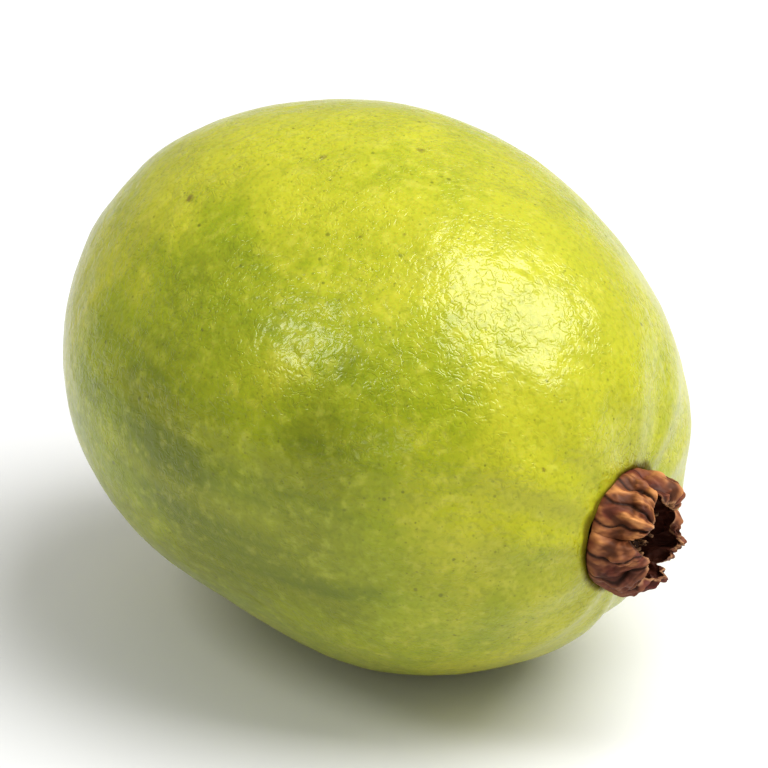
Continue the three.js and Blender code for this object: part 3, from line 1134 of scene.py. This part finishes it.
    def pleat(self, shape: ShapeTree, side: Field, t: Field, seed: Field) -> Field:
        """Give the narrow pleats: 0 deep in one and 1 between them."""
        pleat = (side * (math.pi * self.pleats)).sin().math("ABSOLUTE").root()
        strong = self.pleat_areas.read(shape, side, t, seed).ramp(self.pleat_fade)
        return 1.0 - (1.0 - pleat) * strong

    def crumple(self, shape: ShapeTree, across: Field, t: Field, drift: Field, seed: Field) -> Field:
        """Give the crumples with the fine lines across them: 0 at the deepest and 1 at the highest."""
        crumple = self.crumples.read(shape, across, t, seed).ramp(self.crumple_fade)
        lines = self.lines.sway(shape, across + drift * self.line_drift, t, seed * 2.0)
        return crumple * lines.math("ABSOLUTE").ramp(self.line_fade)

    def thinning(self, across: Field, t: Field) -> Field:
        """Give the share of the full thickness, less towards the tip, the sides and the very edge."""
        sides = across.square()
        tip = 1.0 - t * self.thinner_tip
        return tip * (1.0 - sides * self.thinner_sides) * (1.0 - sides ** 4.0 * self.thinner_edges)

    def middle(self, t: Field, tip: Field, rise: Field, bulge: Field) -> tuple[tuple[Field, Field], ...]:
        """Give a sepal's middle line, a cubic curve from the seat to the curled tip, and its direction.

        Args:
            t: The share of the way along it.
            tip: How far the tip stands from the crown's axis.
            rise: How far the tip stands above the seat.
            bulge: How far the middle stands out.

        Returns:
            The point as distance from the axis and height, and the direction likewise.
        """
        ends = (
            (self.seat_radius - self.thickness / 2, self.root),
            (bulge, rise * self.foot_rise),
            (bulge * self.shoulder_reach, rise * self.shoulder_rise),
            (tip, rise),
        )
        r = 1.0 - t
        weights = (r * r * r, r * r * t * 3.0, r * t * t * 3.0, t * t * t)
        point = tuple(sum_of([w * end[axis] for w, end in zip(weights, ends)]) for axis in (0, 1))
        slopes = (r * r * 3.0, r * t * 6.0, t * t * 3.0)
        steps = [[ends[i + 1][axis] - ends[i][axis] for axis in (0, 1)] for i in range(3)]
        run = [sum_of([w * step[axis] for w, step in zip(slopes, steps)]) for axis in (0, 1)]
        size = (run[0].square() + run[1].square()).root()
        return (point[0], point[1]), (run[0] / size, run[1] / size)

    def build(self, fruit: Fruit) -> bpy.types.Object:
        """Make the crown's piece.

        Args:
            fruit: The fruit it grows on.

        Returns:
            The piece.
        """
        place = fruit.to_world(fruit.crown_seat())
        tree = self.tree(place, SepalFinish().make())
        meshes = []
        for i, sepal in enumerate(self.sepals):
            values = {
                "Tip": sepal.tip,
                "Rise": sepal.rise,
                "Bulge": sepal.bulge,
                "Lean": sepal.lean,
                "Twist": sepal.twist,
                "Narrowing": sepal.narrow,
                "Curl": sepal.curl,
                "Place": self.start + i * 360 / len(self.sepals),
                "Seed": self.seed_step * i,
            }
            meshes.append(tree.mesh(values))
        return settle("crown_sepals", joined("crown_sepals", meshes), Node.CROWN)


@dataclass(frozen=True)
class Threads:
    """One circle of upright threads: how many, how far from the middle, how long and thick, and a seed."""

    count: int
    circle: float
    length: float
    radius: float
    seed: int


@dataclass
class FlowerRemains:
    """The dried disc inside the crown with its stamen stubs, two circles of thin threads and the style."""

    circles: tuple[Threads, ...] = (
        Threads(16, 4.1, 2.9, 0.26, 5),
        Threads(54, 4.7, 2.1, 0.11, 6),
        Threads(27, 3.2, 1.7, 0.1, 7),
        Threads(1, 0.3, 3.3, 0.5, 8),
    )
    light: Colour = tone(172, 128, 88)
    dark: Colour = tone(58, 38, 28)
    # Painted shade: the share by which the threads' foot and the disc are painted darker.
    foot_painted_shade: float = 0.75
    sides: int = 8
    rings: int = 6
    root: float = -0.8
    scatter: tuple[float, float, float] = (0.35, 0.35, 0.1)
    lean: float = 0.35
    top_share: float = 0.8
    bend: float = 0.5
    knob_at: float = 0.94
    knob_spread: float = 0.08
    knob_size: float = 0.5
    raised: Ramp = Ramp(0.2, 0.9)
    disc_radius: float = 5.9
    disc_bottom: float = -1.4
    disc_top: tuple[tuple[float, float], ...] = (
        (5.9, -0.2),
        (5.6, 0.15),
        (4.9, 0.25),
        (4.2, 0.05),
        (3.2, -0.25),
        (2.0, -0.4),
        (1.0, -0.35),
        (0.0, -0.3),
    )
    disc_creases: int = 23
    crease_depth: float = 0.12
    disc_steps: int = 96

    def tree(self, place: Matrix, material: bpy.types.Material) -> ShapeTree:
        """Build the tree that stands one circle of threads on the disc.

        Args:
            place: The way from the crown's frame to the table's.
            material: The dark fibre.

        Returns:
            The tree.
        """
        shape = ShapeTree("flower_remains")
        first = self.circles[0]
        count = shape.whole("Count", first.count)
        circle = shape.number("Circle", first.circle)
        length = shape.number("Length", first.length)
        radius = shape.number("Radius", first.radius)
        seed = shape.whole("Seed", first.seed)
        ring = shape.add("GeometryNodeMeshCircle", {"Vertices": count, "Radius": circle})
        jitter = self.random(shape, [-reach for reach in self.scatter], self.scatter, seed)
        loose = shape.add("GeometryNodeSetPosition", {"Geometry": ring.outputs[0], "Offset": jitter})
        cone = shape.add(
            "GeometryNodeMeshCone",
            {
                "Vertices": self.sides,
                "Side Segments": self.rings,
                "Radius Top": radius * self.top_share,
                "Radius Bottom": radius,
                "Depth": length,
            },
        )
        x, y, z = shape.parts(shape.position())
        share = z / length
        bend = share.square() * self.bend
        knob = 1.0 + share.band(self.knob_at, self.knob_spread) * self.knob_size
        thread = shape.kept(cone.outputs[0], "raised", share.ramp(self.raised), Kind.FLOAT)
        thread = shape.moved(thread, shape.vector(x * knob + bend, y * knob, z))
        turns = (-self.lean, -self.lean, 0.0), (self.lean, self.lean, math.tau)
        lean = self.random(shape, *turns, seed + 1.0)
        stand = shape.add("GeometryNodeInstanceOnPoints", {"Points": loose.outputs[0], "Instance": thread})
        shape.tree.links.new(lean, stand.inputs["Rotation"])
        values = {"Geometry": stand.outputs[0], "Translation": (0.0, 0.0, self.root)}
        rooted = shape.add("GeometryNodeTransform", values)
        shape.finish(shape.placed(rooted.outputs[0], place), material)
        return shape

    def random(self, shape: ShapeTree, low: Sequence[float], high: Sequence[float], seed: Field) -> object:
        """Draw a vector for each point with a fixed seed."""
        values = {"Min": tuple(low), "Max": tuple(high), "Seed": seed}
        return shape.add("FunctionNodeRandomValue", values, data_type="FLOAT_VECTOR").outputs[0]

    def build(self, fruit: Fruit) -> bpy.types.Object:
        """Make the piece.

        Args:
            fruit: The fruit it grows on.

        Returns:
            The piece.
        """
        material = FibreFinish("guava_flower_fibre", self.light, self.dark, foot_painted_shade=self.foot_painted_shade).make()
        place = fruit.to_world(fruit.crown_seat())
        tree = self.tree(place, material)
        meshes = []
        for threads in self.circles:
            values = {
                "Count": threads.count,
                "Circle": threads.circle,
                "Length": threads.length,
                "Radius": threads.radius,
                "Seed": threads.seed,
            }
            meshes.append(tree.mesh(values))
        meshes.append(self.disc(place, material))
        return settle("flower_remains", joined("flower_remains", meshes), Node.STAMENS)

    def disc(self, place: Matrix, material: bpy.types.Material) -> bpy.types.Mesh:
        """Make the sunken disc with its radial creases."""
        bottom = ((0.0, self.disc_bottom), (self.disc_radius, self.disc_bottom))
        mesh = lathed("flower_disc", bottom + self.disc_top, self.disc_steps)
        for vertex in mesh.vertices:
            x, y, z = vertex.co
            outwards = min(math.hypot(x, y) / self.disc_radius, 1.0)
            if z > self.disc_bottom:
                crease = math.cos(self.disc_creases * math.atan2(y, x))
                vertex.co.z += self.crease_depth * crease * outwards
        mesh.materials.append(material)
        mesh.transform(place)
        return mesh


@dataclass
class StalkStub:
    """The cut stub of the stalk: a flared foot, a ridged neck and a fibrous cut end."""

    light: Colour = tone(150, 124, 78)
    dark: Colour = tone(74, 58, 34)
    grain: Noise = Noise(0.6, 21.0, 5.0, 0.3)
    blotches: Noise = Noise(3.0, 22.0)
    foot: tuple[tuple[float, float], ...] = ((0.0, -2.2), (2.7, -2.2), (2.7, -0.6), (2.646, 0.1))
    neck: tuple[tuple[float, float], ...] = ((2.35, 0.7), (2.1, 1.3), (2.0, 2.0), (1.95, 2.8), (2.03, 3.4))
    cut: tuple[tuple[float, float], ...] = (
        (2.079, 3.75),
        (1.95, 3.92),
        (1.6, 3.95),
        (1.0, 3.8),
        (0.5, 3.78),
        (0.0, 3.8),
    )
    ridges: int = 5
    ridge_depth: float = 0.06
    fine_ridges: int = 17
    fine_depth: float = 0.018
    fine_twist: float = 2.0
    rays: int = 13
    ray_depth: float = 0.1
    cut_from: float = 3.7
    steps: int = 72

    def build(self, fruit: Fruit) -> bpy.types.Object:
        """Make the piece.

        Args:
            fruit: The fruit it grows on.

        Returns:
            The piece.
        """
        mesh = lathed("stalk", self.foot + self.neck + self.cut, self.steps)
        for vertex in mesh.vertices:
            vertex.co = self.carved(*vertex.co)
        finish = FibreFinish("guava_stalk", self.light, self.dark, self.grain, self.blotches)
        mesh.materials.append(finish.make())
        mesh.transform(fruit.to_world(fruit.stub_seat()))
        return settle("stalk_end", mesh, Node.STUB)

    def carved(self, x: float, y: float, z: float) -> tuple[float, float, float]:
        """Move a point of the round stub to its place on the ridges or on the rays of the cut end."""
        angle = math.atan2(y, x)
        ridge = self.ridge_depth * math.cos(self.ridges * angle)
        ridge += self.fine_depth * math.cos(self.fine_ridges * angle + self.fine_twist * z)
        wider = 1 + ridge * min(max(z, 0.0), 1.0)
        ray = self.ray_depth * math.cos(self.rays * angle) * max(z - self.cut_from, 0.0)
        return x * wider, y * wider, z + ray * math.hypot(x, y)


def distance(place: Sequence[Field], spot: Sequence[float]) -> Field:
    """Give the distance of a place from a spot."""
    return sum_of([(value - at).square() for value, at in zip(place, spot)]).root()


def sum_of(fields: Sequence[Field]) -> Field:
    """Add fields up."""
    total = fields[0]
    for value in fields[1:]:
        total = total + value
    return total


def lathed(name: str, profile: Sequence[tuple[float, float]], steps: int) -> bpy.types.Mesh:
    """Turn a profile that starts and ends on the axis about +Z.

    Args:
        name: The mesh's name.
        profile: Distances from the axis and heights, from the bottom up.
        steps: How many steps go round.

    Returns:
        A closed mesh with its faces pointing out.
    """
    inner = profile[1:-1]
    points = [(0.0, 0.0, profile[0][1])]
    for radius, height in inner:
        for step in range(steps):
            angle = math.tau * step / steps
            points.append((radius * math.cos(angle), radius * math.sin(angle), height))
    points.append((0.0, 0.0, profile[-1][1]))
    last = len(points) - 1
    faces: list[tuple[int, ...]] = []
    for step in range(steps):
        ahead = (step + 1) % steps
        faces.append((0, 1 + ahead, 1 + step))
        for row in range(len(inner) - 1):
            low, high = 1 + row * steps, 1 + (row + 1) * steps
            faces.append((low + step, low + ahead, high + ahead, high + step))
        top = 1 + (len(inner) - 1) * steps
        faces.append((top + step, top + ahead, last))
    mesh = bpy.data.meshes.new(name)
    mesh.from_pydata(points, [], faces)
    mesh.polygons.foreach_set("use_smooth", [True] * len(mesh.polygons))
    return mesh


def joined(name: str, meshes: Sequence[bpy.types.Mesh]) -> bpy.types.Mesh:
    """Join meshes into one that keeps their attributes.

    Args:
        name: The new mesh's name.
        meshes: The meshes, which all have one and the same material.

    Returns:
        The joined mesh.
    """
    parts = [bpy.data.objects.new(name, mesh) for mesh in meshes]
    for part in parts:
        bpy.context.scene.collection.objects.link(part)
    with bpy.context.temp_override(active_object=parts[0], selected_editable_objects=parts):
        bpy.ops.object.join()
    mesh = parts[0].data
    bpy.data.objects.remove(parts[0])
    return mesh


def settle(name: str, mesh: bpy.types.Mesh, node: Node) -> bpy.types.Object:
    """Put a finished mesh in the scene as a piece of the object.

    Args:
        name: The piece's name.
        mesh: Its mesh, in metres in the table's frame.
        node: The solid that it stands for.

    Returns:
        The piece.
    """
    mesh.name = name
    piece = bpy.data.objects.new(name, mesh)
    bpy.context.scene.collection.objects.link(piece)
    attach(piece, BODY)
    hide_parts(node.value)
    log.info("%s: %d faces for %s", name, len(mesh.polygons), node.value)
    return piece


@dataclass(frozen=True)
class Softbox:
    """A soft square light, placed by its direction from the fruit."""

    name: str
    azimuth: float
    elevation: float
    distance: float
    width: float
    height: float
    power: float


@dataclass
class Studio:
    """The camera at the photograph's angle, the pale floor, the three soft lights and the white surround."""

    azimuth: float = 44.0
    elevation: float = 28.0
    distance: float = 0.784
    view_angle: float = 7.955
    aside: tuple[float, float] = (0.00172, 0.00058)
    nearest: float = 0.01
    floor_size: float = 6.0
    floor_tone: Colour = tone(228, 228, 228)
    floor_roughness: float = 0.7
    surround: float = 0.4
    lights: tuple[Softbox, ...] = (
        Softbox("key_light", 128.0, 61.0, 0.9, 0.62, 0.74, 9.0),
        Softbox("fill_light", -21.0, 53.0, 0.9, 0.16, 0.3, 1.3),
        Softbox("low_light", 26.0, 13.0, 0.9, 0.2, 0.16, 0.26),
    )

    def direction(self, azimuth: float, elevation: float) -> Vector:
        """Give the direction from the object to a place round it, with azimuth 0 in front of it."""
        turn, up = math.radians(azimuth), math.radians(elevation)
        return Vector((math.sin(turn) * math.cos(up), -math.cos(turn) * math.cos(up), math.sin(up)))

    def aim(self, holder: bpy.types.Object, place: Vector, target: Vector) -> None:
        """Stand a camera or a light at a place, facing a target."""
        holder.location = place
        holder.rotation_euler = (target - place).to_track_quat("-Z", "Y").to_euler()
        bpy.context.scene.collection.objects.link(holder)

    def build(self) -> None:
        """Make the camera, the lights, the floor and the surround."""
        scene = bpy.context.scene
        low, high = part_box(Node.FRUIT.value)
        centre = (low + high) / 2
        back = self.direction(self.azimuth, self.elevation)
        turn = math.radians(self.azimuth)
        right = Vector((math.cos(turn), math.sin(turn), 0))
        up = back.cross(right)
        target = centre + right * self.aside[0] + up * self.aside[1]
        lens = bpy.data.cameras.new("view")
        lens.angle = math.radians(self.view_angle)
        lens.clip_start = self.nearest
        camera = bpy.data.objects.new("view", lens)
        self.aim(camera, target + back * self.distance, target)
        scene.camera = camera
        for box in self.lights:
            light = bpy.data.lights.new(box.name, "AREA")
            light.shape = "RECTANGLE"
            light.size, light.size_y = box.width, box.height
            light.energy = box.power
            holder = bpy.data.objects.new(box.name, light)
            self.aim(holder, centre + self.direction(box.azimuth, box.elevation) * box.distance, centre)
        self.lay_floor()
        world = bpy.data.worlds.new("surround")
        world.use_nodes = True
        background = world.node_tree.nodes["Background"]
        background.inputs["Color"].default_value = (1.0, 1.0, 1.0, 1.0)
        background.inputs["Strength"].default_value = self.surround
        scene.world = world
        scene.view_settings.view_transform = "Standard"
        scene.view_settings.look = "Medium High Contrast"

    def lay_floor(self) -> None:
        """Lay the plain pale floor."""
        half = self.floor_size / 2
        mesh = bpy.data.meshes.new("floor")
        corners = [(-half, -half, 0), (half, -half, 0), (half, half, 0), (-half, half, 0)]
        mesh.from_pydata(corners, [], [(0, 1, 2, 3)])
        finish = Finish("pale_floor", {"Specular IOR Level": 0.2})
        finish.paint(self.floor_tone, self.floor_roughness)
        mesh.materials.append(finish.material)
        floor = bpy.data.objects.new("floor", mesh)
        bpy.context.scene.collection.objects.link(floor)


def main() -> None:
    """Build the studio and the guava's pieces in order."""
    logging.basicConfig(level=logging.INFO, format="%(name)s: %(message)s")
    Studio().build()
    fruit = Fruit()
    fruit.build()
    Crown().build(fruit)
    FlowerRemains().build(fruit)
    StalkStub().build(fruit)


if __name__ == "__main__":
    main()
